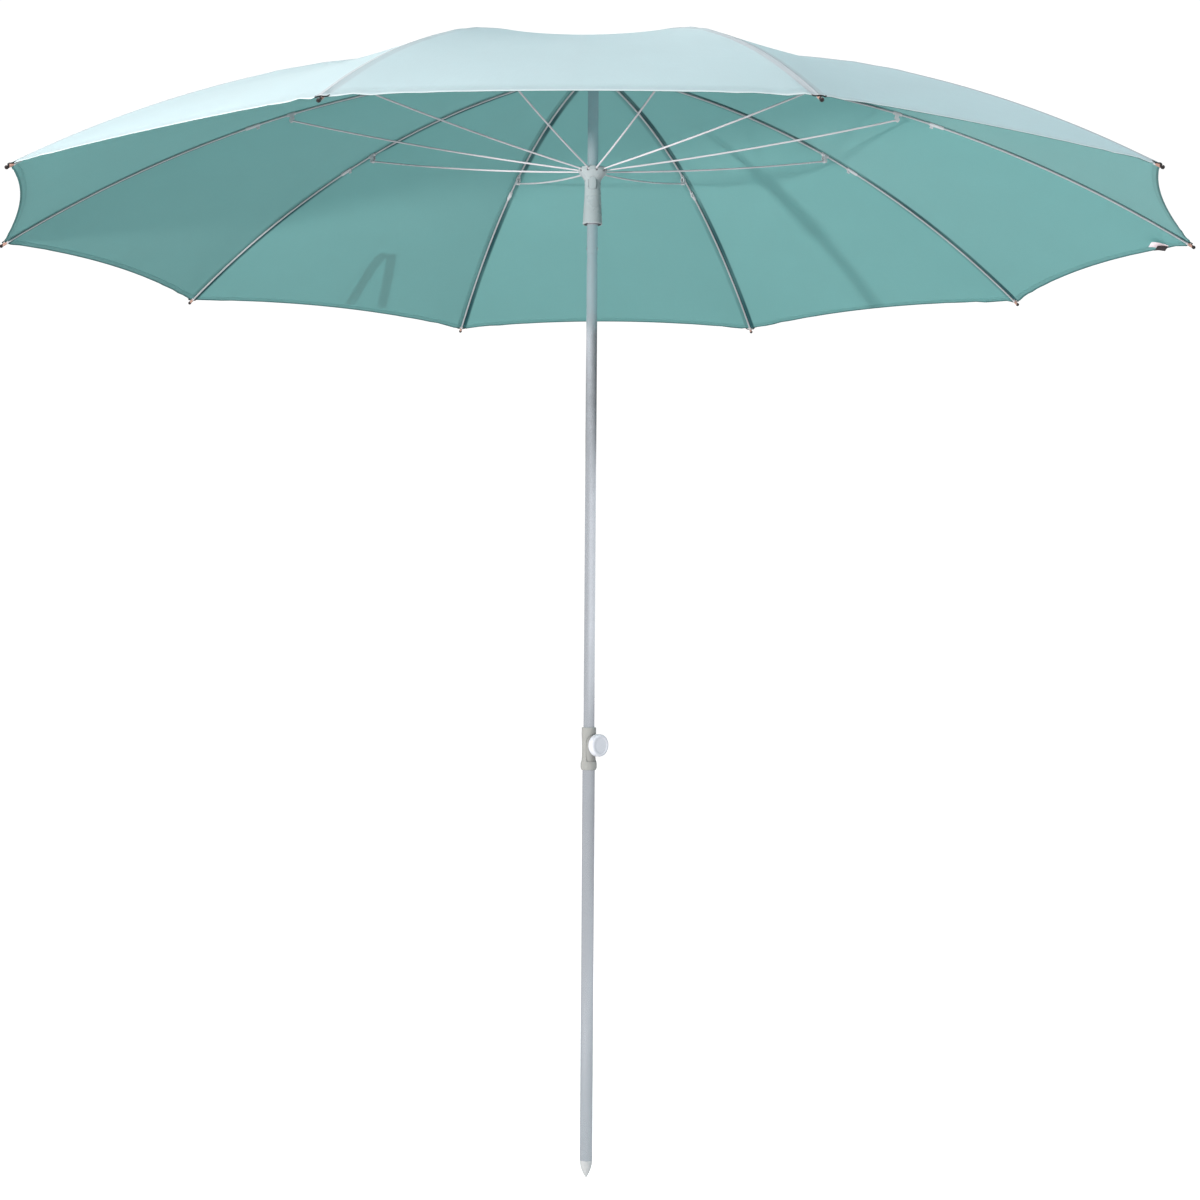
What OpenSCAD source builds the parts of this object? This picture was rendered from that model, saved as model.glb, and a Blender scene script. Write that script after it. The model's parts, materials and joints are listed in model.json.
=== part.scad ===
// Beach umbrella with ten ribs, a tilting mast, a push-button runner and a two-part pole.
// Origin at the tip of the ground spike, +Z up the pole. Rib 1 points along +X.

/* [Canopy] */
// Radius from the pole's axis to the rib tips
canopy_r = 1200; // [1150:5:1210]
// Height of the pins that the ribs swing on
hub_z = 2214; // [2205:0.5:2225]
// Radius that the stiff inner part of each rib is bent to
inner_bend_r = 2080; // [2020:20:2140]
// Radius that the springy outer part of each rib is bent to
outer_bend_r = 2520; // [2440:10:2600]
// Downward slope of a rib where it leaves the hub, in degrees
rib_start_slope = 0.4; // [0.2:0.1:0.6]
// How far the middle of each hem curves in from a straight line between two tips
hem_scallop = 31; // [20:1:45]
// How far the fabric sinks below a straight line between two ribs
fabric_sag = 13; // [0:1:18]

/* [Folding frame] */
// Radius of the wire rings that the ribs and stretchers hang on
ring_r = 24; // [23.5:0.1:24.5]
// Distance from the axis to each stretcher's outer pin
clip_r = 610; // [600:1:615]
// Drop from the rib pins to the stretchers' outer pins
clip_drop = 101.25; // [100:0.05:102.5]
// Diameter of a rib
rib_d = 4; // [3.8:0.1:4]
// Diameter of a stretcher
stretcher_d = 3.6; // [3.2:0.1:3.6]
// How far a stretcher bows below the line between its pins
stretcher_bow = 6.5; // [5:0.5:15]

/* [Pole] */
// Outside diameter of the mast and of the upper tube
mast_d = 22; // [22:0.1:22.1]
// Outside diameter of the lower tube
lower_tube_d = 25; // [25:0.1:25.2]
// Wall of every tube
tube_wall = 1; // [0.9:0.1:1]
// Height of the ground spike's bare point
spike_h = 34; // [30:1:36]
// Height of the tilt rivet
tilt_z = 1853; // [1848:1:1854]
// Depth of the mast inside the lower tube
mast_overlap = 408; // [380:1:420]

/* [Clamp] */
// Bottom of the clamp on the lower tube
clamp_z = 808.5; // [805:0.5:812]
// Height of the clamp
clamp_h = 85; // [84:1:86]
// Diameter of the clamp's hand knob
knob_d = 44.6; // [40:0.1:46]
// Compass direction of the knob, in degrees from +X
knob_az = -46; // [-60:1:-30]

/* [Hidden] */
$fn = 48;
RIBS = 10;
PITCH = 360 / RIBS;

// Clearances
fit = 0.05;         // pressed and glued pieces
slack = 0.2;        // pieces that move past each other
hub_slot_w = 4.8;   // slots that ribs and stretchers swing in

// Rib: two arcs in its own upright plane that meet at the splice. Each point is named by its slope
// angle a, which is also its angle from vertical about the centre of its arc.
splice_r = 688;
inner_cx = ring_r - inner_bend_r * sin(rib_start_slope);
inner_cz = hub_z - inner_bend_r * cos(rib_start_slope);
splice_a = asin((splice_r - inner_cx) / inner_bend_r);
outer_cx = inner_cx + (inner_bend_r - outer_bend_r) * sin(splice_a);
outer_cz = inner_cz + (inner_bend_r - outer_bend_r) * cos(splice_a);
function arc_x(a, lift = 0) = a < splice_a
    ? inner_cx + (inner_bend_r + lift) * sin(a) : outer_cx + (outer_bend_r + lift) * sin(a);
function arc_z(a, lift = 0) = a < splice_a
    ? inner_cz + (inner_bend_r + lift) * cos(a) : outer_cz + (outer_bend_r + lift) * cos(a);
function arc_angle(r, lift = 0) = r < arc_x(splice_a, lift)
    ? asin((r - inner_cx) / (inner_bend_r + lift)) : asin((r - outer_cx) / (outer_bend_r + lift));
tip_a = arc_angle(canopy_r);
tip_cap_l = 20;
rod_end_a = arc_angle(canopy_r - 6);
clip_a = arc_angle(clip_r);

// Stretcher: pins at the runner and at the clip, then the arc between them
clip_z = hub_z - clip_drop;
runner_z = hub_z - 2 * clip_drop;
stretcher_a = atan2(clip_drop, clip_r - ring_r);
stretcher_l = norm([clip_r - ring_r, clip_drop]);
bow_r = pow(stretcher_l, 2) / (8 * stretcher_bow) + stretcher_bow / 2;
bow_half = asin(stretcher_l / 2 / bow_r);
bow_cx = (clip_r + ring_r) / 2 - sin(stretcher_a) * (bow_r - stretcher_bow);
bow_cz = (clip_z + runner_z) / 2 + cos(stretcher_a) * (bow_r - stretcher_bow);

// Wire ring and the eyes that hang on it
wire_r = 1;
eye_r = 3.2;
eye_hole_r = 1.5;

// Fabric: a closed skin that lies just over the ribs and their fittings
skin_low = 4.3;
skin_t = 1;
fabric_hole_r = 13;
hem_r = canopy_r - 6;
fabric_in_a = arc_angle(fabric_hole_r, skin_low);
fabric_out_a = arc_angle(hem_r, skin_low);
seam_gap = 0.3;
steps_u = 18;
steps_v = 5;

// Pole
mast_r = mast_d / 2;
bore_r = mast_r - tube_wall;
lower_r = lower_tube_d / 2;
lower_bore_r = lower_r - tube_wall;
swaged_r = lower_r - 0.3;
upper_bottom_z = tilt_z - 11;
upper_top_z = hub_z + 22;
neck_bottom_z = tilt_z - 29;
knuckle_bottom_z = tilt_z - 66;
lower_top_z = clamp_z + 27;
mast_bottom_z = lower_top_z - mast_overlap;
tongue_x = 5.5;
tongue_r = 7.8;
rivet_r = 2.5;

// Runner
runner_bore_r = 12.2;
crown_r = 29;
neck_r = 16.2;
runner_top_z = runner_z + 4.4;
runner_bottom_z = runner_z - 109.5;
button_z = runner_z - 28.5;
button_az = -88;
button_w = 13.6;
button_h = 26;
button_top_r = 18.2;

// Clamp
knob_z = clamp_z + 50;
boss_r = 10;
boss_end = 19.6;
arch_r = 12.5;
knob_back = 22;
knob_t = 14;
screw_r = 4;

// Puts its children, drawn on a rib that points along +X, on rib number i
module on_rib(i) rotate([0, 0, PITCH * (i - 1)]) children();

// Puts its children, drawn along +X, at distance a along the rib's arc
module on_arc(a, lift = 0) translate([arc_x(a, lift), 0, arc_z(a, lift)]) rotate([0, a, 0]) children();

// Round bar along an arc in the XZ plane, from angle a0 by sweep, measured from +X towards +Z
module arc_bar(cx, cz, bend_r, a0, sweep, bar_r)
    translate([cx, 0, cz]) rotate([90, 0, 0]) rotate([0, 0, a0])
        rotate_extrude(angle = sweep, $fn = 180) translate([bend_r, 0]) circle(bar_r, $fn = 24);

// Cylinder along X from x0 to x1
module x_bar(r, x0, x1) translate([x0, 0, 0]) rotate([0, 90, 0]) cylinder(r = r, h = x1 - x0);

// Cylinder along Y, centred
module y_bar(r, w) rotate([90, 0, 0]) cylinder(r = r, h = w, center = true);

// Plain tube standing on z0
module tube(outer, inner, z0, z1)
    translate([0, 0, z0]) difference() {
        cylinder(r = outer, h = z1 - z0);
        translate([0, 0, -1]) cylinder(r = inner, h = z1 - z0 + 2);
    }

module wire_torus(z, bar_r)
    translate([0, 0, z]) rotate_extrude($fn = 96) translate([ring_r, 0]) circle(bar_r, $fn = 24);

// Radial slots that the eyes on a wire ring swing in
module rib_slots(inner, z0, z1)
    for (i = [1 : RIBS]) on_rib(i)
        translate([inner, -hub_slot_w / 2, z0]) cube([2 * crown_r, hub_slot_w, z1 - z0]);

// ---- Top of the pole ----

// Mushroom cap that holds the fabric down on the hub
finial_base_z = hub_z + skin_low + skin_t + 1;
module finial_cap() color("white") difference() {
    translate([0, 0, finial_base_z]) rotate_extrude($fn = 96) polygon(concat(
        [[0, 0], [26, 0], [26, 1.6], [24.5, 3], [16.5, 5], [15.4, 12]],
        [for (a = [0 : 15 : 90]) [3 + 13.5 * cos(a), 17 + 14 * sin(a)]],
        [[0, 31]]));
    translate([0, 0, finial_base_z - 1]) cylinder(r = mast_r + fit, h = upper_top_z - finial_base_z + 1.5);
}

// Notched hub, pressed on the upper tube
module top_hub() color("white") difference() {
    rotate_extrude($fn = 96) polygon([
        [mast_r + fit, hub_z - 30], [14, hub_z - 30], [15.5, hub_z - 28], [15.5, hub_z - 12],
        [20, hub_z - 10.5], [28, hub_z - 7], [28, hub_z + 1.5], [26.5, hub_z + 3], [mast_r + fit, hub_z + 3]]);
    rib_slots(17, hub_z - 20, hub_z + 10);
    wire_torus(hub_z, wire_r + fit);
}

module hub_wire_ring() color("lightgray") wire_torus(hub_z, wire_r);

// The tube's lower end is the tilt fork: its back half is cut away round the rivet
module upper_tube() color("gainsboro") difference() {
    tube(mast_r, bore_r, upper_bottom_z, upper_top_z);
    translate([0, 0, tilt_z]) {
        rotate([0, 90, 0]) cylinder(r = rivet_r + fit, h = 3 * mast_r, center = true);
        difference() {
            translate([-mast_r - 1, 0, -12]) cube([2 * mast_r + 2, mast_r + 1, 16.5]);
            rotate([0, 90, 0]) cylinder(r = 6.5, h = 3 * mast_r, center = true);
        }
    }
    rotate([0, 0, button_az]) translate([bore_r - 3, -2.9, button_z - 7]) cube([8, 5.8, 14]);
}

// Spring-steel catch inside the tube, with its nib pressed in flush with the slot
module catch_spring() color("silver") rotate([0, 0, button_az]) translate([0, 0, button_z])
    rotate([90, 0, 0]) linear_extrude(5, center = true) polygon([
        [8.6, -6.5], [bore_r + 0.9, 6], [bore_r + 0.9, 6.6], [8.6, 6.6], [7.8, 7.4], [-2, 34], [-9, 40],
        [-9.6, 39.3], [-3, 33.4], [7, 6.4], [7, -8], [-6, -34], [-5.2, -34.4], [8, -7.6]]);

// ---- Tilt joint ----

// Rivet with two friction washers between the tongue and the fork
module tilt_rivet() color("silver") translate([0, 0, tilt_z]) {
    x_bar(rivet_r, -mast_r - 0.1, mast_r + 0.1);
    for (s = [0, 180]) rotate([0, 0, s]) {
        x_bar(3, mast_r + 0.05, mast_r + 0.5);
        difference() {
            x_bar(5.8, tongue_x + 0.1, tongue_x + 2.1);
            x_bar(rivet_r + fit, tongue_x, tongue_x + 3);
        }
    }
}

// Tongue, neck and plug in one piece, pressed in the top of the mast
module tilt_knuckle() color("gainsboro") difference() {
    union() {
        translate([0, 0, knuckle_bottom_z - 38]) cylinder(r = bore_r - fit, h = 40);
        translate([0, 0, knuckle_bottom_z]) cylinder(r = mast_r, h = neck_bottom_z - knuckle_bottom_z);
        translate([0, 0, neck_bottom_z - 1])
            cylinder(r = mast_r - 0.6, h = upper_bottom_z - slack - neck_bottom_z + 1);
        translate([-tongue_x, -tongue_r, neck_bottom_z])
            cube([2 * tongue_x, 2 * tongue_r, tilt_z - neck_bottom_z]);
        translate([0, 0, tilt_z]) x_bar(tongue_r, -tongue_x, tongue_x);
    }
    translate([0, 0, tilt_z]) x_bar(rivet_r + fit, -mast_r, mast_r);
    // Lightening hole up the plug
    translate([0, 0, knuckle_bottom_z - 39]) cylinder(r = 7, h = 60);
}

// ---- Mast and lower pole ----

module mast_tube() color("gainsboro") tube(mast_r, bore_r, mast_bottom_z, knuckle_bottom_z);

// Guide plug under the mast: the mast turns on its spigot, and it slides in the lower tube
module mast_end_plug() color("dimgray") translate([0, 0, mast_bottom_z]) {
    translate([0, 0, -12]) cylinder(r = lower_bore_r - 0.1, h = 12 - fit);
    translate([0, 0, -1]) cylinder(r = bore_r - 0.08, h = 23);
}

// Its top end is swaged down, so that the clamp sits on a shoulder
module lower_tube() color("gainsboro") difference() {
    tube(lower_r, lower_bore_r, spike_h, lower_top_z);
    tube(lower_r + 1, swaged_r, clamp_z, lower_top_z + 1);
}

// Pointed plug in the bottom of the lower tube
module ground_spike() color("whitesmoke") union() {
    rotate_extrude($fn = 96) polygon(concat(
        [[0, 0]],
        [for (a = [15 : 15 : 75]) [2.4 * sin(a), 2.4 - 2.4 * cos(a)]],
        [for (t = [0.1 : 0.1 : 1])
            [2.4 + (lower_r - 2.4) * sin(90 * pow(t, 0.92)), 2.2 + (spike_h - fit - 2.2) * t]],
        [[0, spike_h - fit]]));
    translate([0, 0, spike_h - 1]) cylinder(r = lower_bore_r - fit, h = 31);
}

// ---- Clamp ----

module toward_knob() translate([0, 0, knob_z]) rotate([0, 0, knob_az]) children();

// Arched recess round the boss
module clamp_recess() difference() {
    toward_knob() rotate([90, 0, 90]) linear_extrude(20) union() {
        translate([-arch_r, -33]) square([2 * arch_r, 42.5]);
        translate([0, 9.5]) circle(arch_r);
    }
    translate([0, 0, clamp_z]) cylinder(r = 12.95, h = clamp_h, $fn = 96);
}

// Moulded sleeve: it grips the lower tube below and guides the mast above
module clamp_body() color("whitesmoke") difference() {
    union() {
        difference() {
            translate([0, 0, clamp_z]) rotate_extrude($fn = 96) polygon([
                [0, 0], [13.8, 0], [15.6, 2.5], [16.3, 6], [16.3, 13], [15.9, 15], [14.3, 20], [13.6, 32],
                [13.6, 46], [14, 58], [14.7, 70], [14.7, 83.8], [13.9, clamp_h], [0, clamp_h]]);
            clamp_recess();
        }
        toward_knob() x_bar(boss_r, 7, boss_end);
    }
    translate([0, 0, clamp_z - 1]) cylinder(r = swaged_r + fit, h = lower_top_z - clamp_z + 1 + fit);
    translate([0, 0, clamp_z]) cylinder(r = mast_r + slack, h = clamp_h + 1);
    toward_knob() x_bar(screw_r + fit, 8, 30);
    toward_knob() rotate([0, 90, 0]) translate([0, 0, boss_end - 5]) cylinder(r = 7.5 + fit, h = 10, $fn = 6);
}

// Hexagon nut let into the end of the boss
module clamp_nut() color("silver") toward_knob() difference() {
    rotate([0, 90, 0]) translate([0, 0, boss_end - 5 + fit]) cylinder(r = 7.5, h = 5 - 2 * fit, $fn = 6);
    x_bar(screw_r + fit, 8, 30);
}

// Disc on the end of the screw that presses on the mast
module clamp_pad() color("dimgray") toward_knob() x_bar(screw_r - 0.15, mast_r + fit, 13.3);

module clamp_screw() color("silver") toward_knob() x_bar(screw_r, 13.35, knob_back + 9);

// Round hand knob, moulded on the screw's head
module clamp_knob() color("white") toward_knob() rotate([0, 90, 0]) difference() {
    rotate_extrude($fn = 96) polygon(concat(
        [[0, knob_back - 1.6], [8, knob_back - 1.6], [8.6, knob_back]],
        [[knob_d / 2 - 2.5, knob_back], [knob_d / 2 - 0.8, knob_back + 0.7]],
        [[knob_d / 2, knob_back + 2.5]],
        [for (a = [0 : 15 : 90]) [knob_d / 2 - 3.5 + 3.5 * cos(a), knob_back + knob_t - 3.5 + 3.5 * sin(a)]],
        [[knob_d / 2 - 6, knob_back + knob_t], [knob_d / 2 - 7, knob_back + knob_t - 0.7],
         [0, knob_back + knob_t - 0.7]]));
    translate([0, 0, knob_back - 3]) cylinder(r = screw_r + fit, h = 12 + fit);
}

// ---- Runner ----

// Stadium-shaped prism along X, w wide and h tall
module oval(w, h, x0, x1) {
    for (s = [-1, 1]) translate([0, 0, s * (h - w) / 2]) x_bar(w / 2, x0, x1);
    translate([x0, -w / 2, -(h - w) / 2]) cube([x1 - x0, w, h - w]);
}

module at_button() translate([0, 0, button_z]) rotate([0, 0, button_az]) children();

module runner() color("white") difference() {
    rotate_extrude($fn = 96) polygon([
        [runner_bore_r, runner_top_z], [crown_r - 1.2, runner_top_z], [crown_r, runner_top_z - 1.2],
        [crown_r, runner_z - 3.5], [crown_r - 1.5, runner_z - 6.5], [crown_r - 5, runner_z - 11],
        [neck_r + 3, runner_z - 16.5], [neck_r + 0.6, runner_z - 21], [neck_r, runner_z - 26],
        [neck_r, runner_z - 38], [neck_r + 0.8, runner_z - 60], [19.6, runner_bottom_z + 5],
        [19.8, runner_bottom_z + 2], [19, runner_bottom_z], [17.6, runner_bottom_z],
        [14.6, runner_bottom_z + 38], [runner_bore_r, runner_bottom_z + 42]]);
    rib_slots(17.5, runner_z - 5.5, runner_top_z + 5);
    wire_torus(runner_z, wire_r + fit);
    // Well round the tube inside the notched rim
    translate([0, 0, runner_z - 2]) cylinder(r = 15, h = 20);
    at_button() oval(button_w + 2 * slack, button_h + 2 * slack, 8, 40);
    at_button() oval(button_w + 4, button_h + 4, 8, 14.8);
}

module runner_wire_ring() color("lightgray") wire_torus(runner_z, wire_r);

// Push button with a flange that keeps it in the runner's wall
module runner_button() color("whitesmoke") at_button() intersection() {
    union() {
        oval(button_w, button_h, 13.6, 30);
        oval(button_w + 3.2, button_h + 3.2, 13.6, 14.6);
    }
    difference() {
        translate([0, 0, -30]) cylinder(r = button_top_r, h = 60, $fn = 96);
        translate([0, 0, -31]) cylinder(r = 13.8, h = 62, $fn = 96);
    }
}

// ---- Ribs and stretchers ----

module rib(i) color("slategray") on_rib(i) difference() {
    union() {
        arc_bar(inner_cx, inner_cz, inner_bend_r, 90 - splice_a, splice_a - rib_start_slope, rib_d / 2);
        arc_bar(outer_cx, outer_cz, outer_bend_r, 90 - rod_end_a, rod_end_a - splice_a, rib_d / 2);
        translate([ring_r, 0, hub_z]) y_bar(eye_r, 3.6);
    }
    translate([ring_r, 0, hub_z]) y_bar(eye_hole_r, 10);
}

// Clip with its pin, splice sleeve and tip cap, all fixed on one rib
module rib_fittings(i) on_rib(i) {
    color("white") rib_clip();
    color("silver") translate([clip_r, 0, clip_z]) y_bar(1.45, 8.4);
    color("white") splice_sleeve();
    color("sienna") tip_cap();
}

module rib_clip() {
    difference() {
        on_arc(clip_a) x_bar(rib_d / 2 + 1.6, -9, 9);
        on_arc(clip_a) x_bar(rib_d / 2 + 3 * fit, -20, 20);
    }
    for (s = [-1, 1]) translate([0, s * 2.9, 0]) difference() {
        union() {
            translate([clip_r, 0, clip_z]) y_bar(4, 1.8);
            on_arc(clip_a) translate([-4, -0.9, -10.5]) cube([8, 1.8, 9]);
        }
        translate([clip_r, 0, clip_z]) y_bar(1.5, 20);
    }
}

module splice_sleeve() on_arc(splice_a) difference() {
    union() {
        x_bar(rib_d / 2 + 1.5, -15, 15);
        translate([-13, -1, -8]) cube([7, 2, 6]);
    }
    x_bar(rib_d / 2 + 3 * fit, -20, 20);
}

module tip_cap() on_arc(tip_a) difference() {
    union() {
        x_bar(2.9, -tip_cap_l, 0);
        translate([-2.5, 0, 0]) sphere(3.6);
    }
    x_bar(rib_d / 2 + slack + fit, -tip_cap_l - 5, -5.9);
}

module stretcher(i) color("snow") on_rib(i) difference() {
    union() {
        arc_bar(bow_cx, bow_cz, bow_r, stretcher_a - 90 - bow_half, 2 * bow_half, stretcher_d / 2);
        for (p = [[ring_r, 0, runner_z], [clip_r, 0, clip_z]]) translate(p) y_bar(eye_r, stretcher_d);
    }
    for (p = [[ring_r, 0, runner_z], [clip_r, 0, clip_z]]) translate(p) y_bar(eye_hole_r + 0.05, 10);
}

// ---- Fabric ----

// Share of the way to the middle of the gore: flat across the middle, creased over the rib
function bulge(v) = v * (2 - v);

// Fabric point: a is the arc angle, v runs from 0 on the rib to 1 mid-gore, and side is -1 or 1
function fabric_z(a, v, lift) = arc_z(a, lift)
    - fabric_sag * bulge(v) * sin(180 * (arc_x(a) - fabric_hole_r) / (hem_r - fabric_hole_r));
function fabric_point(a, v, side, lift) =
    let (r = arc_x(a, lift), half = PITCH / 2, w = v * (r * cos(half) * sin(half) - seam_gap))
    [r * (1 - v * pow(sin(half), 2)), side * w, fabric_z(a, v, lift)];
// The last ring of points follows the scalloped hem
function hem_a(v) = fabric_out_a - bulge(v) * hem_scallop / outer_bend_r * 180 / PI;
function fabric_a(u, v) = let (end_r = arc_x(hem_a(v), skin_low))
    arc_angle(fabric_hole_r + (end_r - fabric_hole_r) * u, skin_low);
function fabric_row(u, lift) = [for (k = [-steps_v : steps_v])
    fabric_point(fabric_a(u, abs(k) / steps_v), abs(k) / steps_v, sign(k), lift)];

// Faces of a closed sheet whose points are two grids of rows by cols, the upper one first
function sheet_faces(rows, cols) = let (n = rows * cols) concat(
    [for (i = [0 : rows - 2], j = [0 : cols - 2]) each [
        [i * cols + j, i * cols + j + 1, (i + 1) * cols + j + 1],
        [i * cols + j, (i + 1) * cols + j + 1, (i + 1) * cols + j],
        [n + i * cols + j, n + (i + 1) * cols + j + 1, n + i * cols + j + 1],
        [n + i * cols + j, n + (i + 1) * cols + j, n + (i + 1) * cols + j + 1]]],
    [for (i = [0 : rows - 2]) each [
        [i * cols, (i + 1) * cols, n + (i + 1) * cols], [i * cols, n + (i + 1) * cols, n + i * cols],
        [(i + 1) * cols - 1, n + (i + 2) * cols - 1, (i + 2) * cols - 1],
        [(i + 1) * cols - 1, n + (i + 1) * cols - 1, n + (i + 2) * cols - 1]]],
    [for (j = [0 : cols - 2]) each [
        [j, n + j + 1, j + 1], [j, n + j, n + j + 1],
        [n - cols + j, n - cols + j + 1, 2 * n - cols + j + 1],
        [n - cols + j, 2 * n - cols + j + 1, 2 * n - cols + j]]]);

// Closed sheet between two grids of points
module sheet(upper, lower) polyhedron(
    points = concat([for (row = upper) each row], [for (row = lower) each row]),
    faces = sheet_faces(len(upper), len(upper[0])));

// The half gores on both sides of one rib, which swing with it
module canopy_section(i) on_rib(i) {
    color("paleturquoise") sheet(
        [for (u = [0 : steps_u]) fabric_row(u / steps_u, skin_low + skin_t)],
        [for (u = [0 : steps_u]) fabric_row(u / steps_u, skin_low)]);
    if (i == 1) color("white") care_label();
}

// Blank label that hangs from the hem beside rib 1
label_a = arc_angle(canopy_r - 20);
label_v = 0.19;
module care_label() translate(fabric_point(label_a, label_v, 1, skin_low) - [0, 0, 1])
    rotate([0, label_a, 0]) rotate([-14, -18, 0]) translate([-34, -11, -1.2]) cube([34, 22, 1.2]);

// Closure strap: sewn on at its middle, with two legs that lie on the outside of one half gore
strap_w = 25;
strap_t = 1.6;
strap_lift = skin_low + skin_t + 1.3;
strap_steps = 8;
strap_rib = 4;
strap_top_r = 968;
strap_l = 178;
function strap_point(t, v, edge, lift) = let (a = arc_angle(strap_top_r + strap_l * t))
    fabric_point(a, v + edge * strap_w / 2 / (arc_x(a) * cos(PITCH / 2) * sin(PITCH / 2)), 1, lift);
function strap_grid(v0, v1, lift) = [for (k = [0 : strap_steps]) let (t = k / strap_steps)
    [for (e = [-1, 0, 1]) strap_point(t, v0 + (v1 - v0) * t, e, lift)]];
module strap_leg(v0, v1) sheet(strap_grid(v0, v1, strap_lift + strap_t), strap_grid(v0, v1, strap_lift));
function strap_fold(lift) = [for (r = [-14, 8]) [for (v = [0.79, 0.88, 0.965])
    fabric_point(arc_angle(strap_top_r + r), v, 1, lift)]];
module closure_strap() color("lightseagreen") on_rib(strap_rib) union() {
    strap_leg(0.925, 0.925);
    strap_leg(0.83, 0.665);
    sheet(strap_fold(strap_lift + strap_t), strap_fold(strap_lift));
}

finial_cap();
top_hub();
hub_wire_ring();
upper_tube();
catch_spring();
tilt_rivet();
tilt_knuckle();
mast_tube();
mast_end_plug();
lower_tube();
ground_spike();
clamp_body();
clamp_nut();
clamp_pad();
clamp_screw();
clamp_knob();
runner();
runner_wire_ring();
runner_button();
closure_strap();
for (i = [1 : RIBS]) rib(i);
for (i = [1 : RIBS]) rib_fittings(i);
for (i = [1 : RIBS]) stretcher(i);
for (i = [1 : RIBS]) canopy_section(i);
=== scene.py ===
"""Beach umbrella: materials, fabric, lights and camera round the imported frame.

Metres, origin at the tip of the ground spike, +Z up the pole, rib 1 along +X.
"""
import json
import math

import bpy
import numpy as np
from mathutils import Matrix, Vector


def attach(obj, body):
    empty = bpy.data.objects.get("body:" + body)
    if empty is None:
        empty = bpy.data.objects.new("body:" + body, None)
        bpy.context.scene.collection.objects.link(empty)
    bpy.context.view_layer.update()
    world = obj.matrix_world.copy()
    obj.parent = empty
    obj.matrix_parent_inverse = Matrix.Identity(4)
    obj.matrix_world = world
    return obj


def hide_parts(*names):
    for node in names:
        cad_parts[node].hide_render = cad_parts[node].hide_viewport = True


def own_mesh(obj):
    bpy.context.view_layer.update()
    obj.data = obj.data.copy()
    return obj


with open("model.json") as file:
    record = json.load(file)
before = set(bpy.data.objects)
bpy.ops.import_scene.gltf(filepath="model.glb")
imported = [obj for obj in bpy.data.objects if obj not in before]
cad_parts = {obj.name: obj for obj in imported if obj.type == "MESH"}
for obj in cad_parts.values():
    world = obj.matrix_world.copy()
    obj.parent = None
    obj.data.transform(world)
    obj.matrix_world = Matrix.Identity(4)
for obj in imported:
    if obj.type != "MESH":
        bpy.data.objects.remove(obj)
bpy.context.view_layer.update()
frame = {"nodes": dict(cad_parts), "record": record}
scene = bpy.context.scene

# ---------------------------------------------------------------- camera
cam_data = bpy.data.cameras.new("camera")
cam_data.sensor_width = 36.0
cam_data.lens = 63.46
cam_data.shift_x = 0.0085
cam_data.clip_end = 200.0
camera = bpy.data.objects.new("camera", cam_data)
scene.collection.objects.link(camera)
camera.matrix_world = (
    Matrix.Translation((0.1307, -4.2288, 1.0531))
    @ Matrix.Rotation(0.0309, 4, "Z")
    @ Matrix.Rotation(math.pi / 2 + 0.0224, 4, "X")
    @ Matrix.Rotation(0.0069, 4, "Z")
)
scene.camera = camera

# ---------------------------------------------------------------- geometry of the frame
RIBS = 10
HALF = math.pi / RIBS
CANOPY_R = 1.2
HUB_Z = 2.214
RING_R = 0.024
INNER_BEND = 2.08
OUTER_BEND = 2.52
START = math.radians(0.4)
SPLICE_R = 0.688
CLIP_R = 0.61
SAG = 0.013
SCALLOP = 0.031
HOLE_R = 0.013
HEM_R = CANOPY_R - 0.006
BLUNT = 0.0044        # how far each tip corner of the cloth is cut back

inner_cx = RING_R - INNER_BEND * math.sin(START)
inner_cz = HUB_Z - INNER_BEND * math.cos(START)
splice_a = math.asin((SPLICE_R - inner_cx) / INNER_BEND)
outer_cx = inner_cx + (INNER_BEND - OUTER_BEND) * math.sin(splice_a)
outer_cz = inner_cz + (INNER_BEND - OUTER_BEND) * math.cos(splice_a)


def arc_x(a, lift=0.0):
    return np.where(
        a < splice_a,
        inner_cx + (INNER_BEND + lift) * np.sin(a),
        outer_cx + (OUTER_BEND + lift) * np.sin(a),
    )


def arc_z(a, lift=0.0):
    return np.where(
        a < splice_a,
        inner_cz + (INNER_BEND + lift) * np.cos(a),
        outer_cz + (OUTER_BEND + lift) * np.cos(a),
    )


def arc_angle(r, lift=0.0):
    r = np.asarray(r, float)
    inner = np.arcsin(np.clip((r - inner_cx) / (INNER_BEND + lift), -1, 1))
    outer = np.arcsin(np.clip((r - outer_cx) / (OUTER_BEND + lift), -1, 1))
    return np.where(r < arc_x(splice_a, lift), inner, outer)


def rib_dir(i):
    """Direction from the pole along rib i, and the direction square to it."""
    t = 2 * HALF * (i - 1)
    return np.array([math.cos(t), math.sin(t), 0]), np.array([-math.sin(t), math.cos(t), 0])


def bulge(v):
    return v * (2 - v)


def fabric_point(a, v, lift):
    """Point of the fabric at arc angle a, v from -1 to 1 across the gores beside a rib."""
    w = np.abs(v)
    r = arc_x(a, lift)
    sag = SAG * bulge(w) * np.sin(np.pi * np.clip((arc_x(a) - HOLE_R) / (HEM_R - HOLE_R), 0, 1))
    return np.stack(
        [r * (1 - w * math.sin(HALF) ** 2), v * r * math.cos(HALF) * math.sin(HALF), arc_z(a, lift) - sag],
        axis=-1,
    )


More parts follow.
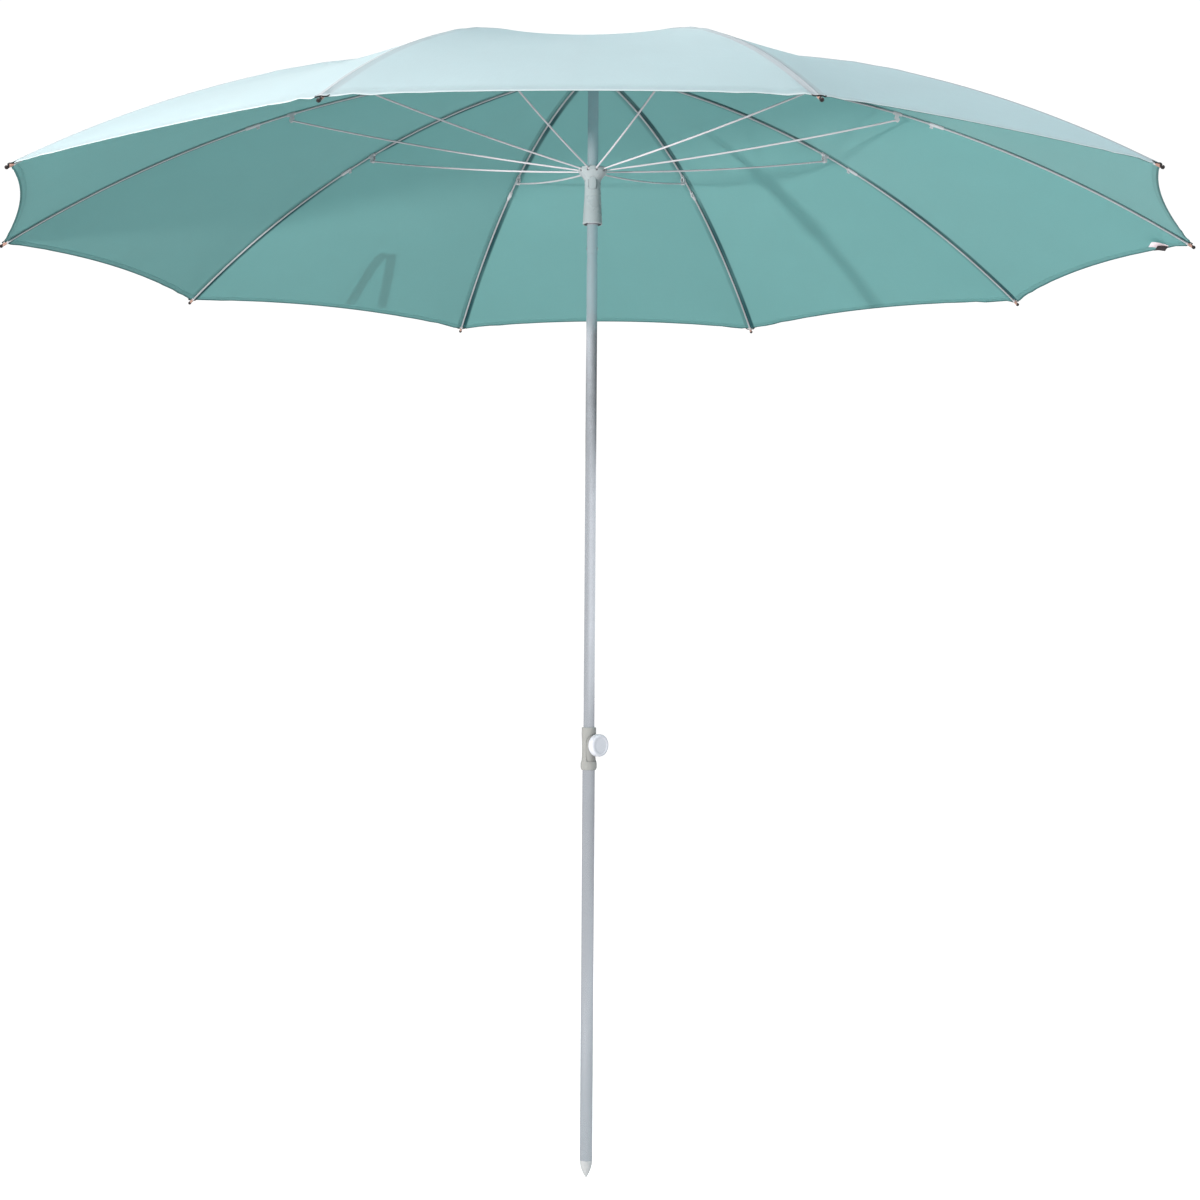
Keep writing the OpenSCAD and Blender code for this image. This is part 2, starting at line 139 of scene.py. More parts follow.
# ---------------------------------------------------------------- material helpers
class Nodes:
    """Short way to write a node tree."""

    def __init__(self, name):
        self.material = bpy.data.materials.new(name)
        self.material.use_nodes = True
        self.tree = self.material.node_tree
        self.tree.nodes.clear()

    def add(self, kind, inputs=None, **settings):
        node = self.tree.nodes.new("ShaderNode" + kind)
        for key, value in settings.items():
            setattr(node, key, value)
        for key, value in (inputs or {}).items():
            if hasattr(value, "is_linked"):
                self.tree.links.new(value, node.inputs[key])
            else:
                node.inputs[key].default_value = value
        return node

    def math(self, operation, a, b=0.0):
        return self.add("Math", {0: a, 1: b}, operation=operation).outputs[0]

    def ramp(self, value, low, high, out_low=0.0, out_high=1.0):
        """Smooth step from out_low to out_high as value goes from low to high."""
        inputs = {"Value": value, 1: low, 2: high, 3: out_low, 4: out_high}
        return self.add("MapRange", inputs, interpolation_type="SMOOTHSTEP").outputs[0]

    def noise(self, vector, scale, detail=2.0, rough=0.5, stretch=None):
        if stretch:
            vector = self.add("Mapping", {"Vector": vector, "Scale": stretch}).outputs[0]
        inputs = {"Vector": vector, "Scale": scale, "Detail": detail, "Roughness": rough}
        return self.add("TexNoise", inputs).outputs["Fac"]

    def mix(self, share, a, b):
        node = self.add("Mix", data_type="RGBA", blend_type="MIX", clamp_factor=True)
        for key, value in ((0, share), (6, a), (7, b)):
            if hasattr(value, "is_linked"):
                self.tree.links.new(value, node.inputs[key])
            else:
                node.inputs[key].default_value = value
        return node.outputs[2]

    def bump(self, height, distance, strength=1.0):
        return self.add("Bump", {"Height": height, "Distance": distance, "Strength": strength}).outputs[0]

    def done(self, shader):
        out = self.add("OutputMaterial")
        self.tree.links.new(shader, out.inputs["Surface"])
        return self.material


def rgb(r, g, b):
    """Linear colour from display values of 0 to 255."""
    return tuple(
        (c / 255 / 12.92 if c / 255 <= 0.04045 else ((c / 255 + 0.055) / 1.055) ** 2.4) for c in (r, g, b)
    ) + (1.0,)


def scaled(color, by):
    return tuple(min(1.0, c * by) for c in color[:3]) + (1.0,)


def hard_material(name, color, rough, metallic=0.0, speck=0.04, grain=600.0, grain_depth=0.00002, coat=0.0,
                  specular=0.5, bands=()):
    """Painted metal or moulded plastic: cloudy tone, fine grain and a little wear in the gloss. Each of
    bands is (distance from the pole's axis, colour from there outwards)."""
    n = Nodes(name)
    where = n.add("TexCoord").outputs["Object"]
    cloud = n.noise(where, 9.0, 3.0)
    fine = n.noise(where, grain, 2.0)
    tone = n.mix(n.ramp(cloud, 0.3, 0.7), scaled(color, 1 - speck), scaled(color, 1 + speck))
    if bands:
        flat = n.add("VectorMath", {0: where, 1: (1, 1, 0)}, operation="MULTIPLY").outputs[0]
        out = n.add("VectorMath", {0: flat}, operation="LENGTH").outputs["Value"]
        for start, band in bands:
            tone = n.mix(n.ramp(out, start - 0.0004, start + 0.0004), tone, band)
    gloss = n.ramp(n.noise(where, 38.0, 4.0, 0.6), 0.25, 0.8, rough * 0.82, rough * 1.2)
    shader = n.add(
        "BsdfPrincipled",
        {
            "Base Color": tone,
            "Roughness": gloss,
            "Metallic": metallic,
            "Coat Weight": coat,
            "Specular IOR Level": specular,
            "Normal": n.bump(fine, grain_depth),
        },
    )
    return n.done(shader.outputs[0])


def fabric_material(name, color, glow, thread, share, seam, hem, seam_line=0.0):
    """Woven polyester. The mesh's UV map is in metres, x across the gore and y along the rib; the
    attribute 'edges' holds the distances from the rib seam and from the hem and how dark the seam band is
    (doubled cloth and a painted rod shadow).
    seam is the tone of that band, partly the doubled seam and partly painted shade; hem is the tone of the
    folded edge, a painted highlight outside and painted shade inside."""
    n = Nodes(name)
    uv = n.add("UVMap").outputs[0]
    cut = n.add("SeparateXYZ", {0: uv})
    x, y = cut.outputs[0], cut.outputs[1]
    edge = n.add("SeparateXYZ", {0: n.add("Attribute", attribute_name="edges").outputs["Vector"]})
    from_seam, from_hem, cloth_layers_and_shadow = edge.outputs[0], edge.outputs[1], edge.outputs[2]
    # plain weave: warp and weft ridges of 0.7 mm that take turns on top
    warp = n.math("SINE", n.math("MULTIPLY", x, 2 * math.pi / 0.0007))
    weft = n.math("SINE", n.math("MULTIPLY", y, 2 * math.pi / 0.0007))
    weave = n.math("MULTIPLY", warp, weft)
    # slubs: threads that are a little thicker for some centimetres
    slub_x = n.noise(uv, 1.0, 2.0, 0.6, stretch=(900, 22, 1))
    slub_y = n.noise(uv, 1.0, 2.0, 0.6, stretch=(22, 900, 1))
    slubs = n.math("ADD", slub_x, slub_y)
    cloud = n.noise(uv, 5.0, 3.0, 0.55)

    def stitches(distance, at, along):
        near = n.ramp(n.math("ABSOLUTE", n.math("SUBTRACT", distance, at)), 0.00035, 0.0008, 1.0, 0.0)
        dash = n.ramp(n.math("PINGPONG", along, 0.00175), 0.0003, 0.0006)
        return n.math("MULTIPLY", near, dash)

    sewn = n.math("MAXIMUM", stitches(from_hem, 0.0098, x), stitches(from_seam, 0.0045, y))
    tone = n.mix(n.ramp(cloud, 0.3, 0.7), scaled(color, 0.965), scaled(color, 1.035))
    tone = n.mix(n.ramp(slubs, 0.75, 1.3), scaled(color, 0.95), tone)
    # painted shadow: the band beside each rib line takes the seam tone, for the doubled seam and the rib
    # rod's shadow
    tone = n.mix(cloth_layers_and_shadow, tone, seam)
    # painted highlight and shade: the folded edge of the hem takes the hem tone, lighter on the outside,
    # dark on the inside
    tone = n.mix(n.ramp(from_hem, 0.0028, 0.0046, 1.0, 0.0), tone, hem)
    if seam_line:
        tone = n.mix(n.ramp(from_seam, 0.0006, 0.0016, seam_line, 0.0), tone, scaled(color, 0.45))
    tone = n.mix(n.math("MULTIPLY", sewn, 0.6), tone, thread)
    # the translucent colour dims in the same band: doubled cloth and painted rod shadow
    lit = n.mix(cloth_layers_and_shadow, glow, scaled(glow, 0.1))
    height = n.math("ADD", n.math("MULTIPLY", weave, 0.5), n.math("MULTIPLY", sewn, 2.5))
    normal = n.bump(height, 0.00006, 0.6)
    front = n.add(
        "BsdfPrincipled",
        {
            "Base Color": tone,
            "Roughness": 0.78,
            "Specular IOR Level": 0.25,
            "Sheen Weight": 0.12,
            "Sheen Roughness": 0.5,
            "Normal": normal,
        },
    )
    through = n.add("BsdfTranslucent", {"Color": lit, "Normal": normal})
    both = n.add("MixShader", {0: share})
    n.tree.links.new(front.outputs[0], both.inputs[1])
    n.tree.links.new(through.outputs[0], both.inputs[2])
    return n.done(both.outputs[0])


# ---------------------------------------------------------------- materials
OUT_COLOR = rgb(200, 213, 221)
# painted shade: the inside of the cloth is a darker teal copy of the outside's pale aqua, for the dimmer
# light that reaches the underside; its thread, seam and hem tones are painted shade too
IN_SHADED_COLOR = rgb(117, 162, 161)
# painted highlight: the outside's hem tone is lighter along the folded edge
mat_out = fabric_material("canopy_outside", OUT_COLOR, rgb(226, 246, 247), rgb(180, 208, 213), 0.42,
                          seam=rgb(206, 216, 223), hem=rgb(224, 232, 236), seam_line=0.55)
mat_in_shaded = fabric_material("canopy_inside_shaded", IN_SHADED_COLOR, rgb(116, 176, 174), rgb(90, 138, 138), 0.5,
                         seam=rgb(36, 94, 101), hem=rgb(26, 64, 66))
mat_strap = fabric_material("strap_tape", rgb(150, 200, 202), rgb(60, 120, 120), rgb(120, 170, 172), 0.03,
                            seam=rgb(120, 170, 172), hem=rgb(120, 170, 172))
mat_loop = hard_material("loop_elastic", rgb(24, 30, 32), 0.7, grain=1500, grain_depth=0.0001)
mat_hooks = hard_material("hook_tape", rgb(128, 172, 176), 0.9, grain=2400, grain_depth=0.0004, specular=0.2)
mat_label = hard_material("label_cloth", rgb(240, 222, 228), 0.75, grain=1800, grain_depth=0.00008)
mat_label_back = hard_material("label_back", rgb(40, 30, 34), 0.6, grain=1800, grain_depth=0.00008)

mat_pole = hard_material("pole_paint", rgb(199, 203, 211), 0.12, metallic=0.74, speck=0.015, grain=300,
                         grain_depth=0.0000008)
mat_frame = hard_material("frame_plastic", rgb(137, 144, 147), 0.3, grain=900, coat=0.2)
mat_cap = hard_material("cap_plastic", rgb(222, 226, 226), 0.32, grain=900, coat=0.2)
mat_clamp = hard_material("clamp_plastic", rgb(142, 142, 140), 0.4, grain=900, grain_depth=0.00003)
mat_knob = hard_material("knob_plastic", rgb(196, 197, 205), 0.38, grain=900, grain_depth=0.00003)
mat_spike = hard_material("spike_plastic", rgb(184, 185, 187), 0.4, grain=900, grain_depth=0.00003)
mat_dark = hard_material("dark_plastic", rgb(58, 58, 62), 0.5)
mat_wire = hard_material("zinc_wire", rgb(190, 190, 194), 0.32, metallic=1.0, speck=0.08)
mat_rib = hard_material("rib_paint", rgb(172, 174, 178), 0.34, metallic=0.35, speck=0.06)
mat_stretcher = hard_material("stretcher_paint", rgb(180, 175, 180), 0.32, speck=0.03)
mat_fittings = hard_material("fitting_plastic", rgb(176, 176, 180), 0.34, grain=900, coat=0.15,
                             bands=((1.186, rgb(160, 124, 112)), (1.1938, rgb(28, 20, 20))))

slot_material = {
    "pole_metal": mat_pole,
    "clamp_plastic": mat_clamp,
    "knob_plastic": mat_knob,
    "frame_plastic": mat_frame,
    "cap_plastic": mat_cap,
    "dark_plastic": mat_dark,
    "wire": mat_wire,
    "rib_rod": mat_rib,
    "stretcher_rod": mat_stretcher,
}
node_material = {"ground_spike": mat_spike}
for part in frame["record"]["subparts"]:
    if part["node"].startswith("rib_fittings"):
        finish = mat_fittings
    else:
        finish = node_material.get(part["node"], slot_material.get(part["material_slot"]))
    if finish:
        for material_slot in frame["nodes"][part["node"]].material_slots:
            material_slot.link = "OBJECT"
            material_slot.material = finish


# ---------------------------------------------------------------- fabric
SHEET_LIFT = 0.0030   # underside of the cloth over the rib's centre line
SHEET_T = 0.0008
HEM_BAND = 0.0115     # width of the folded hem
SEAM_HALF = 0.0088    # half the width of the doubled seam under each rib line
SEAM_SHADE_END = 0.0125     # where the darker band ends, measured from the rib line: doubled seam and painted shadow of the rib rod
SEAM_SHADE_FADE = 0.003
ALONG = 58
ACROSS = 15


def wrinkles(i, r, y, v, d):
    """Small height changes: ruffles beside each tip, and pulls that run from the tips."""
    w = np.abs(v)
    fade = (1 - w) ** 2
    near = np.exp(-d / 0.045) * np.exp(-np.abs(y) / 0.12) * fade * np.clip(np.abs(y) / 0.02, 0, 1)
    side = np.where(y >= 0, 1.0, 1.7)
    broad = np.sin(np.abs(y) / 0.0105 + side * (1.3 + 1.9 * i))
    narrow = np.sin(np.abs(y) / 0.0057 + 2.3 * i * side)
    out = 0.0021 * near * (broad + 0.6 * narrow)
    spread = np.arctan2(np.abs(y), d + 0.02)
    pull = np.exp(-np.hypot(d, y) / 0.16) * np.clip(np.hypot(d, y) / 0.03, 0, 1) * fade
    out += 0.0007 * pull * np.sin(spread * 17 + i * side)
    # slow unevenness of the stretched cloth
    out += 0.0007 * fade * w * np.sin(r / 0.11 + 1.7 * i * side) * np.sin(np.abs(y) / 0.05 + 0.9 * i)
    return out


def over_fittings(r, y):
    """Extra lift where the cloth runs over the clip, the splice sleeve and the tip."""
    return 0.0013 * np.exp(-((y / 0.016) ** 2)) * (
        np.exp(-(((r - CLIP_R) / 0.022) ** 2)) + np.exp(-(((r - SPLICE_R) / 0.028) ** 2))
    )


def seam_and_rod_shadow(r, y):
    """How dark the band beside each rib line is: partly the doubled seam, partly a painted shadow of the rib
    rod, lying mostly towards -y and fading at the clip and the splice sleeve, where the rod touches the
    cloth.
    """
    w = np.abs(y)
    seam_shade = np.clip(w / 0.0012, 0, 1) * np.clip((SEAM_SHADE_END - w) / SEAM_SHADE_FADE, 0, 1) * np.where(y < 0, 1.0, 0.3)
    pinned = np.exp(-(((r - CLIP_R) / 0.03) ** 2)) + np.exp(-(((r - SPLICE_R) / 0.04) ** 2))
    uneven = 0.86 + 0.14 * np.sin(r / 0.043)
    return seam_shade * (1 - 0.75 * np.clip(pinned, 0, 1)) * uneven


def section_grid():
    """Arc angle, v, distance from seam and from hem of each point of a section's grid."""
    fixed = np.array([0, 0.0012, 0.0026, 0.0052, SEAM_HALF, SEAM_HALF + 0.0006, 0.0135, 0.021])
    hems = np.array([HEM_BAND + 0.0006, HEM_BAND, 0.0085, 0.005, 0.002, 0.0007, 0.0])
    hem_r0 = float(arc_x(arc_angle(HEM_R, SHEET_LIFT), SHEET_LIFT))
    body = 0.5 - 0.5 * np.cos(np.linspace(0, 1, ALONG + 1) * math.pi * 0.62)
    body = body / body[-1]
    body = 0.5 * body + 0.5 * np.linspace(0, 1, ALONG + 1)
    rows = [("body", u) for u in body[:-1]] + [("hem", d) for d in hems]
    a_grid, v_grid, d_grid = [], [], []
    for kind, t in rows:
        r0 = HOLE_R + (hem_r0 - hems[0] - HOLE_R) * t if kind == "body" else hem_r0 - t
        half_w = r0 * math.cos(HALF) * math.sin(HALF)
        squeeze = min(1.0, half_w / 0.034)
        near = fixed * squeeze / half_w
        v = np.concatenate([near, np.linspace(near[-1], 1, ACROSS)[1:]])
        v = np.concatenate([-v[:0:-1], v])
        hem_a = arc_angle(HEM_R, SHEET_LIFT) - bulge(np.abs(v)) * SCALLOP / OUTER_BEND
        end = np.minimum(arc_x(hem_a, SHEET_LIFT), (hem_r0 - BLUNT) / (1 - np.abs(v) * math.sin(HALF) ** 2))
        r = HOLE_R + (end - hems[0] - HOLE_R) * t if kind == "body" else end - t
        a_grid.append(arc_angle(r, SHEET_LIFT))
        v_grid.append(v)
        d_grid.append(end - r)
    return np.array(a_grid), np.array(v_grid), np.array(d_grid)


GRID_A, GRID_V, GRID_D = section_grid()


def add_mesh(name, points, faces, materials, face_materials=None, uv=None, edges=None, sharp=35.0):
    mesh = bpy.data.meshes.new(name)
    mesh.from_pydata([tuple(p) for p in points], [], faces)
    for material in materials:
        mesh.materials.append(material)
    if face_materials is not None:
        mesh.polygons.foreach_set("material_index", np.array(face_materials, np.int32))
    mesh.polygons.foreach_set("use_smooth", np.ones(len(faces), bool))
    loops = np.empty(len(mesh.loops), np.int32)
    mesh.loops.foreach_get("vertex_index", loops)
    if uv is not None:
        layer = mesh.uv_layers.new(name="UVMap")
        layer.data.foreach_set("uv", np.asarray(uv, np.float32)[loops].ravel())
    if edges is not None:
        attribute = mesh.attributes.new("edges", "FLOAT_VECTOR", "POINT")
        attribute.data.foreach_set("vector", np.asarray(edges, np.float32).ravel())
    mesh.update()
    mesh.set_sharp_from_angle(angle=math.radians(sharp))
    obj = bpy.data.objects.new(name, mesh)
    scene.collection.objects.link(obj)
    return obj


def place(points, i):
    """Points drawn on a rib along +X, turned to rib i."""
    out, side = rib_dir(i)
    return points[:, :1] * out + points[:, 1:2] * side + points[:, 2:] * np.array([0, 0, 1])


def canopy_section(i):
    rows, cols = GRID_A.shape
    y = fabric_point(GRID_A, GRID_V, SHEET_LIFT)[..., 1]
    r = arc_x(GRID_A, SHEET_LIFT)
    shape = wrinkles(i, r, y, GRID_V, GRID_D) + over_fittings(r, y)
    in_seam = np.abs(y) <= SEAM_HALF * 1.001
    in_hem = GRID_D <= HEM_BAND * 1.001
    # darkness of the band beside each rib line, doubled seam with painted rod shadow, and a light share for
    # the doubled hem
    layers_and_shadow = np.maximum(seam_and_rod_shadow(r, y), 0.12 * in_hem)
    lower = SHEET_LIFT - 0.0005 * in_seam - 0.0007 * in_hem
    upper = SHEET_LIFT + SHEET_T + 0.0003 * in_hem
    # the folded edge of the hem is round
    edge_round = np.clip(1 - GRID_D / 0.002, 0, 1) ** 2
    middle = (lower + upper) / 2
    lower = lower + (middle - lower) * 0.75 * edge_round
    upper = upper + (middle - upper) * 0.75 * edge_round
    points = []
    for lift in (upper, lower):
        p = fabric_point(GRID_A, GRID_V, lift)
        p[..., 2] += shape
        points.append(p.reshape(-1, 3))
    n = rows * cols
    faces, kinds = [], []
    for k in range(rows - 1):
        for j in range(cols - 1):
            a, b, c, d = k * cols + j, k * cols + j + 1, (k + 1) * cols + j + 1, (k + 1) * cols + j
            faces.append((a, d, c, b))
            kinds.append(0)
            faces.append((n + a, n + b, n + c, n + d))
            kinds.append(1)
    for k in range(rows - 1):
        a, d = k * cols, (k + 1) * cols
        faces.append((a, n + a, n + d, d))
        faces.append((a + cols - 1, d + cols - 1, n + d + cols - 1, n + a + cols - 1))
        kinds += [1, 1]
    for j in range(cols - 1):
        a, b = j, j + 1
        faces.append((a, b, n + b, n + a))
        a, b = (rows - 1) * cols + j, (rows - 1) * cols + j + 1
        faces.append((a, n + a, n + b, b))
        kinds += [0, 1]
    uv = np.stack([y, r], -1).reshape(-1, 2)
    edges = np.stack([np.abs(y), GRID_D, layers_and_shadow], -1).reshape(-1, 3)
    obj = add_mesh(
        f"canopy_{i}", place(np.concatenate(points), i), faces, [mat_out, mat_in_shaded], kinds,
        np.concatenate([uv, uv]), np.concatenate([edges, edges]),
    )
    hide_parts(f"canopy_section_{i}")
    fold_with(obj, i)


def fold_with(obj, i):
    """Rides on rib i, with a mesh of its own."""
    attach(obj, f"rib_{i}")
    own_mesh(obj)


for i in range(1, RIBS + 1):
    canopy_section(i)


def thin_strip(rows, thickness, first=0):
    """Closed strip between a grid of points and the same grid moved down by thickness along the given
    direction of each row. Returns points, faces and each face's row."""
    grid = np.array([row for row, _ in rows])
    drop = np.array([np.tile(np.asarray(d, float) * thickness, (grid.shape[1], 1)) for _, d in rows])
    count, cols = grid.shape[:2]
    n = count * cols
    faces, of_row = [], []
    for k in range(count - 1):
        for j in range(cols - 1):
            a, b, c, d = k * cols + j, k * cols + j + 1, (k + 1) * cols + j + 1, (k + 1) * cols + j
            faces += [(a, b, c, d), (n + a, n + d, n + c, n + b)]
            of_row += [k, k]
        a, d = k * cols, (k + 1) * cols
        faces += [(a, d, n + d, n + a), (a + cols - 1, n + a + cols - 1, n + d + cols - 1, d + cols - 1)]
        of_row += [k, k]
    for j in range(cols - 1):
        faces.append((j, n + j, n + j + 1, j + 1))
        a = (count - 1) * cols + j
        faces.append((a, a + 1, n + a + 1, n + a))
        of_row += [0, count - 2]
    points = np.concatenate([grid.reshape(-1, 3), (grid + drop).reshape(-1, 3)])
    return points, [tuple(first + k for k in face) for face in faces], of_row


# ---------------------------------------------------------------- closure strap
STRAP_RIB = 4
STRAP_W = 0.025
STRAP_T = 0.0012
STRAP_TOP_R = 0.968
STRAP_L = 0.178
PATCH_L = 0.045       # hook and loop tape on the free ends
STRAP_LIFT = 0.0046


def strap_point(t, v, across, lift):
    a = arc_angle(STRAP_TOP_R + STRAP_L * t)
    half_w = float(arc_x(a)) * math.cos(HALF) * math.sin(HALF)
    return fabric_point(a, v + across * STRAP_W / 2 / half_w, lift)


def closure_strap():
    """Tape folded at its sewn middle, with two legs that lie on the cloth and curl up at their ends."""
    down = (0, 0, -1)
    points, faces, kinds, uv = [], [], [], []

    def take(rows, patch_rows=()):
        new_points, new_faces, of_row = thin_strip(rows, STRAP_T, sum(len(p) for p in points))
        points.append(new_points)
        faces.extend(new_faces)
        kinds.extend(1 if k in patch_rows else 0 for k in of_row)
        uv.append(new_points[:, :2])

    steps = 22
    patch_from = int(steps * (1 - PATCH_L / STRAP_L))
    for start_v, end_v, phase in ((0.925, 0.925, 0.4), (0.83, 0.665, 2.1)):
        rows = []
        for k in range(steps + 1):
            t = k / steps
            curl = 0.0026 * max(0.0, (t - 0.8) / 0.2) ** 2
            wave = 0.0005 * (1 + math.sin(7 * t + phase))
            lift = STRAP_LIFT + STRAP_T + curl + wave + (0.0008 if k > patch_from else 0.0)
            v = start_v + (end_v - start_v) * t + 0.006 * math.sin(5 * t + phase)
            rows.append((np.array([strap_point(t, v, e, lift) for e in (-1, -0.5, 0, 0.5, 1)]), down))
        take(rows, range(patch_from, steps))
    rows = []
    for k in range(9):
        t = k / 8
        r = STRAP_TOP_R - 0.013 + 0.021 * t
        lift = STRAP_LIFT + 2 * STRAP_T + 0.0004 + 0.0012 * math.sin(math.pi * t)
        a = arc_angle(r)
        rows.append((np.array([fabric_point(a, v, lift) for v in (0.8, 0.84, 0.88, 0.92, 0.955)]), down))
    take(rows)
    points = np.concatenate(points)
    obj = add_mesh("strap_tape", place(points, STRAP_RIB), faces, [mat_strap, mat_hooks], kinds,
                   np.concatenate(uv), np.full((len(points), 3), (1.0, 1.0, 0.0)))
    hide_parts("closure_strap")
    fold_with(obj, STRAP_RIB)


# ---------------------------------------------------------------- tip loops and label
def smooth_path(points, steps=6):
    """Catmull-Rom curve through the points."""
    points = np.asarray(points, float)
    padded = np.concatenate([[2 * points[0] - points[1]], points, [2 * points[-1] - points[-2]]])
    out = []
    for k in range(len(points) - 1):
        p0, p1, p2, p3 = padded[k:k + 4]
        for t in np.arange(steps) / steps:
            out.append(0.5 * (2 * p1 + (p2 - p0) * t + (2 * p0 - 5 * p1 + 4 * p2 - p3) * t ** 2
                              + (3 * p1 - p0 - 3 * p2 + p3) * t ** 3))
    return np.array(out + [points[-1]])


def tube(path, radius, sides=10):
    """Points and faces of a round cord with domed ends along a path."""
    tangent = np.gradient(path, axis=0)
    tangent /= np.linalg.norm(tangent, axis=1)[:, None]
    up = np.array([0, 0, 1.0])
    points, faces = [], []
    for k, (p, t) in enumerate(zip(path, tangent)):
        side = np.cross(up, t)
        side /= np.linalg.norm(side)
        other = np.cross(t, side)
        r = radius * (0.6 if k in (0, len(path) - 1) else 1.0)
        for s in range(sides):
            turn = 2 * math.pi * s / sides
            points.append(p + r * (math.cos(turn) * side + math.sin(turn) * other))
    for k in range(len(path) - 1):
        for s in range(sides):
            e = (s + 1) % sides
            faces.append((k * sides + s, k * sides + e, (k + 1) * sides + e, (k + 1) * sides + s))
    last = (len(path) - 1) * sides
    faces.append(tuple(range(sides - 1, -1, -1)))
    faces.append(tuple(last + s for s in range(sides)))
    return np.array(points), faces


def tip_loop(i):
    """Elastic thread sewn to both corners of the cloth, that runs over the tip cap's neck."""
    corner_r = HEM_R - BLUNT

    def on_cloth(r, y, lift):
        a = arc_angle(r)
        return [float(arc_x(a, lift)), y, float(arc_z(a, lift))]

    half = [(corner_r - 0.006, 0.0115, 0.0018), (corner_r - 0.0005, 0.0098, 0.0021),
            (corner_r + 0.0022, 0.0066, 0.0030), (corner_r + 0.0027, 0.0028, 0.0040)]
    path = [on_cloth(r, -y, lift) for r, y, lift in half]
    path += [on_cloth(r, y, lift) for r, y, lift in half[::-1]]
    points, faces = tube(smooth_path(path), 0.0011)
    obj = add_mesh(f"tip_loop_{i}", place(points, i), faces, [mat_loop], sharp=60)
    fold_with(obj, i)


LABEL_W = 0.022


def care_label():
    """Blank folded label, sewn to the hem beside rib 1: a pale leaf over a shorter dark one."""
    a = arc_angle(CANOPY_R - 0.020)
    anchor = Vector(fabric_point(a, 0.19, SHEET_LIFT)) - Vector((0, 0, 0.0011))
    turn = (Matrix.Rotation(float(a), 4, "Y") @ Matrix.Rotation(math.radians(-18), 4, "Y")
            @ Matrix.Rotation(math.radians(-14), 4, "X"))
    profile = [(-0.034, -0.0022), (-0.026, -0.0006), (-0.014, 0.0), (-0.004, 0.0), (0.0, -0.0008),
               (0.0008, -0.0020), (0.0, -0.0032), (-0.006, -0.0042), (-0.014, -0.0056), (-0.021, -0.0082)]
    steps = 4
    path = smooth_path([(x, 0.0, z) for x, z in profile], steps)
    fold = 5 * steps      # the dark leaf starts five spans along the profile
    slope = np.gradient(path, axis=0)
    rows = []
    for p, t in zip(path, slope):
        normal = np.array([t[2], 0, -t[0]]) / math.hypot(t[0], t[2])
        across = [p + np.array([0, y, 0.0007 * math.sin(y * 260 + p[0] * 90)])
                  for y in np.linspace(-LABEL_W / 2, LABEL_W / 2, 7)]
        rows.append((np.array([turn @ Vector(q) + anchor for q in across]), turn.to_3x3() @ Vector(normal)))
    points, faces, of_row = thin_strip(rows, 0.0004)
    obj = add_mesh("care_label", place(points, 1), faces, [mat_label, mat_label_back],
                   [0 if k < fold else 1 for k in of_row])
    fold_with(obj, 1)


closure_strap()
care_label()
for i in range(1, RIBS + 1):
    tip_loop(i)


# ---------------------------------------------------------------- floor and light
def area_light(name, at, aim, size, power, color=(1, 1, 1), glossy=True, spread=math.pi):
    data = bpy.data.lights.new(name, "AREA")
    data.shape = "DISK"
    data.size = size
    data.energy = power
    data.color = color
    obj = bpy.data.objects.new(name, data)
    scene.collection.objects.link(obj)
    obj.location = at
    obj.rotation_mode = "QUATERNION"
    obj.rotation_quaternion = (Vector(aim) - Vector(at)).to_track_quat("-Z", "Y")
    obj.visible_glossy = glossy
    data.spread = spread
    return obj


floor = add_mesh("floor", [(-40, -40, -0.0005), (40, -40, -0.0005), (40, 40, -0.0005), (-40, 40, -0.0005)],
                 [(0, 1, 2, 3)], [])
n = Nodes("floor_paper")
rays = n.add("LightPath").outputs
glow = n.ramp(rays["Is Glossy Ray"], 0.0, 1.0, n.ramp(rays["Is Camera Ray"], 0.0, 1.0, 0.34, 0.6), 0.05)
tint = n.ramp(rays["Is Glossy Ray"], 0.0, 1.0, 0.9, 0.6)
paper = {"Base Color": tint, "Roughness": 0.9, "Emission Color": (1, 1, 1, 1), "Emission Strength": glow}
floor.data.materials.append(n.done(n.add("BsdfPrincipled", paper).outputs[0]))

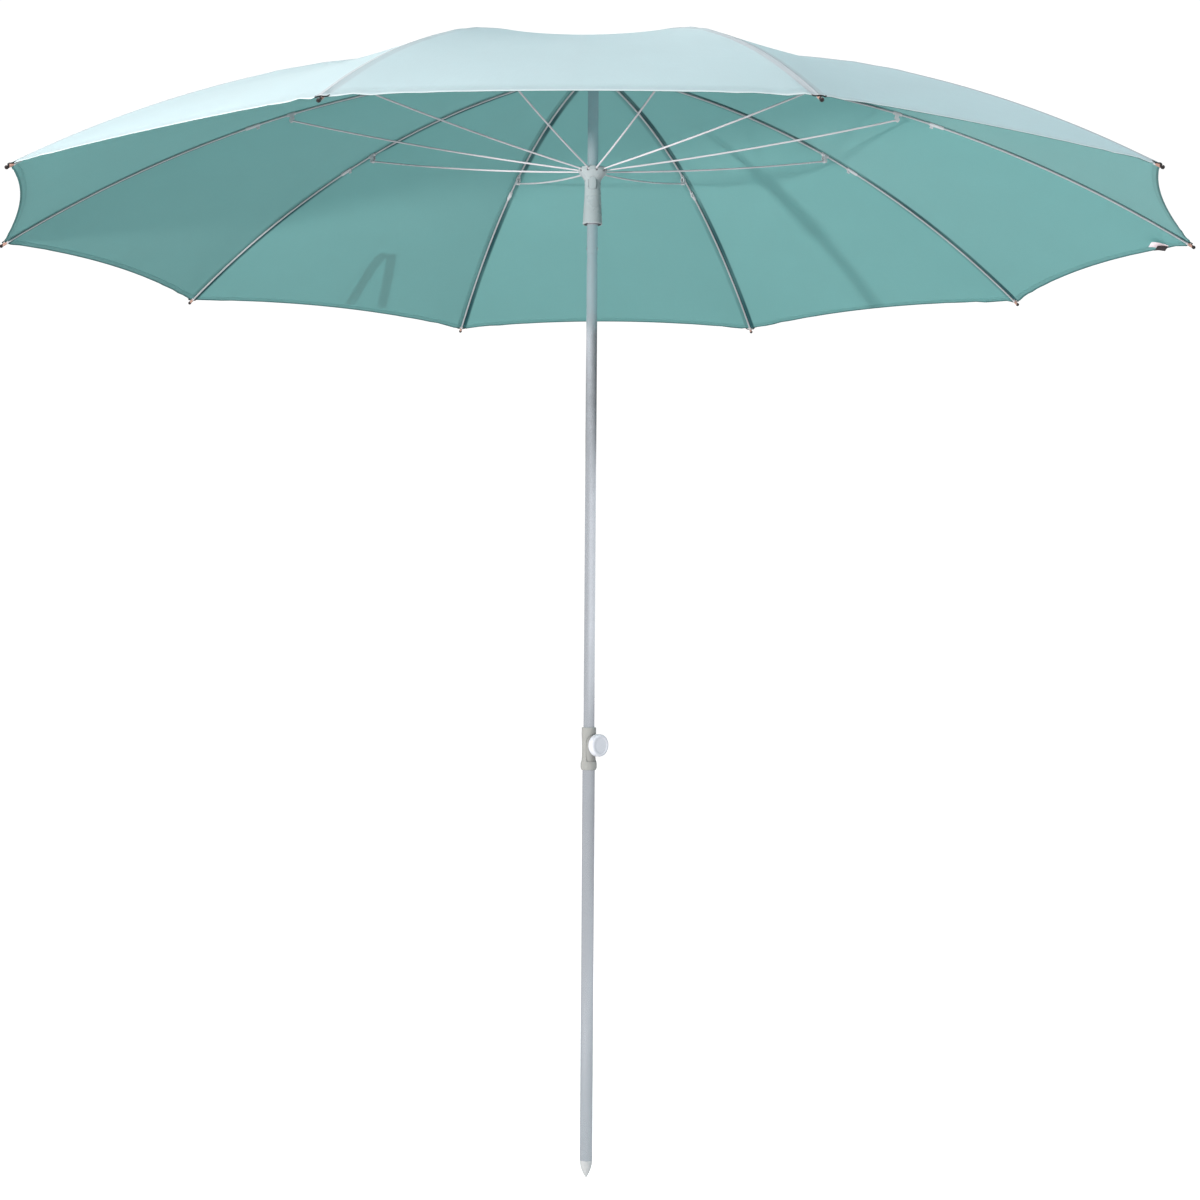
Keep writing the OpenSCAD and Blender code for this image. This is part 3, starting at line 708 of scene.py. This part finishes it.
# The camera sees a white backdrop. The object is lit by a softer one, and gloss shows a studio with bright
# paper low down and, above the level of the lens, a pale screen on the left and a dark one on the right.
world = bpy.data.worlds.new("studio")
world.use_nodes = True
tree = world.node_tree


def sky(kind, inputs, **settings):
    node = tree.nodes.new("ShaderNode" + kind)
    for key, value in settings.items():
        setattr(node, key, value)
    for key, value in inputs.items():
        if hasattr(value, "is_linked"):
            tree.links.new(value, node.inputs[key])
        else:
            node.inputs[key].default_value = value
    return node


def sky_ramp(value, low, high, out_low, out_high, smooth="SMOOTHSTEP"):
    inputs = {"Value": value, 1: low, 2: high, 3: out_low, 4: out_high}
    return sky("MapRange", inputs, interpolation_type=smooth).outputs[0]


way = sky("SeparateXYZ", {0: tree.nodes.new("ShaderNodeTexCoord").outputs["Generated"]}).outputs
seen = tree.nodes.new("ShaderNodeLightPath").outputs
low_glow = sky_ramp(way[0], -1.0, 0.4, 0.4, 1.02)
high_glow = sky_ramp(way[0], -0.9, 0.9, 0.72, 0.06)
overhead = sky_ramp(way[2], 0.115, 0.18, 0.12, 2.1)
high_glow = sky("Math", {0: high_glow, 1: overhead}, operation="MULTIPLY").outputs[0]
above = sky_ramp(way[2], 0.086, 0.096, 0.0, 1.0)
gloss = sky_ramp(above, 0.0, 1.0, low_glow, high_glow, "LINEAR")
level = sky_ramp(seen["Is Glossy Ray"], 0.0, 1.0, 0.55, gloss, "LINEAR")
level = sky_ramp(seen["Is Camera Ray"], 0.0, 1.0, level, 1.05, "LINEAR")
background = tree.nodes["Background"]
background.inputs["Color"].default_value = (1, 1, 1, 1)
tree.links.new(level, background.inputs["Strength"])
scene.world = world

area_light("key", (-0.2, -0.2, 5.5), (0, 0, 2.0), 2.2, 86)
area_light("right_fill", (4.2, -1.0, 3.8), (0, 0, 2.0), 2.0, 84, (0.86, 0.97, 1.0))
area_light("low_left", (-2.33, -3.13, 1.4), (0.3, 0.4, 2.0), 0.15, 66, (1.0, 0.98, 0.95), glossy=False,
           spread=math.radians(100))

scene.view_settings.view_transform = "Standard"
scene.view_settings.look = "None"
